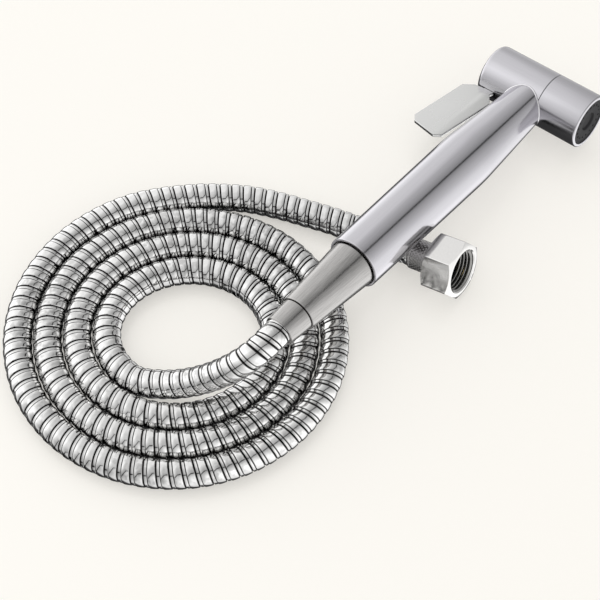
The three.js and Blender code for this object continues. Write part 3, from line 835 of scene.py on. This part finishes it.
def make_supply_tailpiece():
    profile = [
        (TAIL_BORE, TAIL_BACK),
        (TAIL_RADIUS, TAIL_BACK),
        (TAIL_RADIUS, FLANGE_BACK),
        (FLANGE_RADIUS - 0.2, FLANGE_BACK),
        (FLANGE_RADIUS, FLANGE_BACK + 0.2),
        (FLANGE_RADIUS, FLANGE_FRONT - 0.2),
        (FLANGE_RADIUS - 0.2, FLANGE_FRONT),
        (TAIL_BORE + 0.3, FLANGE_FRONT),
        (TAIL_BORE, FLANGE_FRONT - 0.3),
    ]
    tailpiece = turned("supply_tailpiece_shell", profile, SUPPLY, 96)
    return dress(tailpiece, "brass", "handset", "supply_tailpiece")


def make_nut_washer():
    inner, outer = 5.4, 9.0
    back, front = FLANGE_FRONT + 0.5, FLANGE_FRONT + 2.0
    profile = [
        *arc(inner, back, 0.2, 180, 270, 3),
        *arc(outer, back, 0.2, 270, 360, 3),
        *arc(outer, front, 0.2, 0, 90, 3),
        *arc(inner, front, 0.2, 90, 180, 3),
    ]
    return dress(turned("nut_washer_ring", profile, SUPPLY, 96), "seal_rubber", "handset", "nut_washer")


def make_nut():
    """The hex nut: round corners, chamfered ends and a socket."""
    corner_round = 0.7
    reach = NUT_FLATS / math.sqrt(3) - corner_round / math.cos(math.pi / 6)
    outline = []
    for i in range(6):
        middle = 60.0 * i
        x, z = (reach * f(math.radians(middle)) for f in (math.cos, math.sin))
        outline += arc(x, z, corner_round, middle - 30, middle + 30, 5)
    nut = prism("hex_nut_body", outline, 0.0, NUT_LENGTH, SUPPLY)
    across = NUT_FLATS / 2
    chamfered = turned(
        "chamfer",
        [
            (AXIS, 0.0),
            (across - 0.3, 0.0),
            (across + 2.2, 1.4),
            (across + 2.2, NUT_LENGTH - 1.4),
            (across - 0.3, NUT_LENGTH),
            (AXIS, NUT_LENGTH),
        ],
        SUPPLY,
        128,
    )
    carve(nut, [chamfered], "INTERSECT")
    socket = turned(
        "socket",
        [
            (AXIS, -1.0),
            (TAIL_CLEARANCE, -1.0),
            (TAIL_CLEARANCE, 2.6),
            (NUT_BORE, 2.6),
            (NUT_BORE, NUT_LENGTH - 0.6),
            (NUT_BORE + 0.6, NUT_LENGTH),
            (NUT_BORE + 0.6, NUT_LENGTH + 1.0),
            (AXIS, NUT_LENGTH + 1.0),
        ],
        SUPPLY,
        96,
    )
    carve(nut, [socket])
    return dress(nut, "nut_steel", "hex_nut", "hex_nut")


def make_nut_thread():
    """The nut's internal thread: a helical ridge round the socket's wall."""
    per_turn = 72
    half = THREAD_PITCH * 0.46
    foot, crest = NUT_BORE + 0.05, NUT_BORE - THREAD_DEPTH
    ridge = [(foot, -half), (crest, -0.1), (crest, 0.1), (foot, half)]
    vertices, faces = [], []
    for i in range(THREAD_TURNS * per_turn + 1):
        angle = 2 * math.pi * i / per_turn
        height = THREAD_START + THREAD_PITCH * i / per_turn
        for radius, offset in ridge:
            point = (radius * math.cos(angle), height + offset, radius * math.sin(angle))
            vertices.append([value * MM for value in point])
    for i in range(THREAD_TURNS * per_turn):
        low, high = 4 * i, 4 * i + 4
        faces += [(low + k, low + k + 1, high + k + 1, high + k) for k in range(3)]
        faces.append((low + 3, low, high, high + 3))
    faces += [(0, 1, 2, 3), tuple(len(vertices) - 1 - k for k in range(4))]
    thread = made_mesh("nut_thread", vertices, faces, SUPPLY, 20.0)
    return dress(thread, "painted_shade_thread_steel", "hex_nut", slot="nut_steel")


# ---- Floor and light ----
def make_floor():
    half = FLOOR_SIZE / 2
    corners = [(-half, -half, 0.0), (half, -half, 0.0), (half, half, 0.0), (-half, half, 0.0)]
    floor = made_mesh("floor", corners, [(0, 1, 2, 3)], Matrix.Identity(4))
    material, shader = new_material("floor", FLOOR_COLOUR, 0.0, 0.22)
    shader.inputs["Specular IOR Level"].default_value = 0.5
    shader.inputs["Emission Color"].default_value = (*FLOOR_GLOW, 1.0)
    shader.inputs["Emission Strength"].default_value = FLOOR_GLOW_STRENGTH
    floor.data.materials.append(material)
    floor.visible_glossy = False  # the steel reflects the studio on every side


# Studio brightness by direction: three rows of soft boxes. The first runs across the handle, with a dark gap
# between two boxes over its middle line; the second runs across the head; the third ends in a dark far side,
# which edges polished steel with dark lines. Each stop is [part, brightness].
ACROSS_HANDLE = (0.042, 0.9365, 0.349)
HANDLE_BOXES = [(-1.0, 1.2), (-0.77, 1.15), (-0.60, 0.95), (-0.30, 0.70), (-0.06, 0.48), (-0.045, 0.03),
                (0.035, 0.03), (0.05, 0.48), (0.30, 0.68), (0.55, 0.90), (0.70, 1.20), (1.0, 1.25)]
ACROSS_HEAD = (0.798, 0.083, 0.597)
HEAD_BOXES = [(-1.0, 0.80), (-0.62, 0.82), (-0.33, 1.02), (0.0, 1.05), (0.19, 1.03), (0.62, 0.80),
              (0.93, 0.75), (1.0, 0.75)]
FAR_SIDE = (-0.099, 0.355, -0.930)
FAR_BOXES = [(-1.0, 1.0), (0.0, 1.0), (0.30, 1.15), (0.50, 1.30), (0.57, 1.20), (0.66, 0.18), (1.0, 0.10)]
STUDIO_TOP = 1.5


def brightness_ramp(tree, value, stops):
    """A brightness for a direction's part along one axis, which runs from -1 to 1."""
    shift = tree.nodes.new("ShaderNodeMapRange")
    shift.inputs["From Min"].default_value = -1.0
    shift.inputs["From Max"].default_value = 1.0
    tree.links.new(value, shift.inputs["Value"])
    ramp = tree.nodes.new("ShaderNodeValToRGB")
    while len(ramp.color_ramp.elements) < len(stops):
        ramp.color_ramp.elements.new(0.5)
    for element, (place, level) in zip(ramp.color_ramp.elements, stops):
        element.position = (place + 1) / 2
        share = level / STUDIO_TOP
        element.color = (share, share, share, 1.0)
    tree.links.new(shift.outputs["Result"], ramp.inputs["Fac"])
    return ramp.outputs["Color"]


def make_studio():
    """A bright studio with soft boxes, and one lamp overhead for the floor."""
    world = bpy.data.worlds.new("studio")
    bpy.context.scene.world = world
    world.use_nodes = True
    tree = world.node_tree
    direction = tree.nodes.new("ShaderNodeTexCoord")
    boxes = []
    for axis, stops in (
        (ACROSS_HANDLE, HANDLE_BOXES),
        (ACROSS_HEAD, HEAD_BOXES),
        (FAR_SIDE, FAR_BOXES),
    ):
        part = tree.nodes.new("ShaderNodeVectorMath")
        part.operation = "DOT_PRODUCT"
        part.inputs[1].default_value = axis
        tree.links.new(direction.outputs["Generated"], part.inputs[0])
        boxes.append(brightness_ramp(tree, part.outputs["Value"], stops))
    light = boxes[0]
    for box in boxes[1:]:
        product = tree.nodes.new("ShaderNodeMix")
        product.data_type = "RGBA"
        product.blend_type = "MULTIPLY"
        product.inputs["Factor"].default_value = 1.0
        tree.links.new(light, product.inputs["A"])
        tree.links.new(box, product.inputs["B"])
        light = product.outputs["Result"]
    background = tree.nodes["Background"]
    tree.links.new(light, background.inputs["Color"])
    background.inputs["Strength"].default_value = STUDIO_TOP ** len(boxes)
    lamp_data = bpy.data.lights.new("overhead", "AREA")
    lamp_data.shape = "DISK"
    lamp_data.size = 2.4
    lamp_data.energy = 5.5
    lamp_data.color = (1.0, 0.985, 0.96)
    lamp = bpy.data.objects.new("overhead", lamp_data)
    lamp.location = (-0.1, 0.0, 1.6)
    lamp.visible_glossy = False
    bpy.context.scene.collection.objects.link(lamp)
    bpy.context.scene.view_settings.view_transform = "Standard"


# ---- The scene ----
make_camera()
hose, hose_exit, hose_path = make_hose()
make_floor()
make_studio()
make_head()
make_nozzle()
make_spray_plate()
make_lever()
make_handle()
make_weld()
fittings = [
    make_cone_nut(),
    make_handset_ferrule(),
    make_supply_ferrule(),
    make_supply_tailpiece(),
    make_nut_washer(),
    make_nut(),
    make_nut_thread(),
    frame["nodes"]["handset_tailpiece"],
    frame["nodes"]["cone_washer"],
]

# CAD nodes that stay take the material of their slot.
slots = {entry["node"]: entry["material_slot"] for entry in frame["record"]["subparts"]}
for name, node in frame["nodes"].items():
    node.data.materials.clear()
    node.data.materials.append(materials[slots[name]])
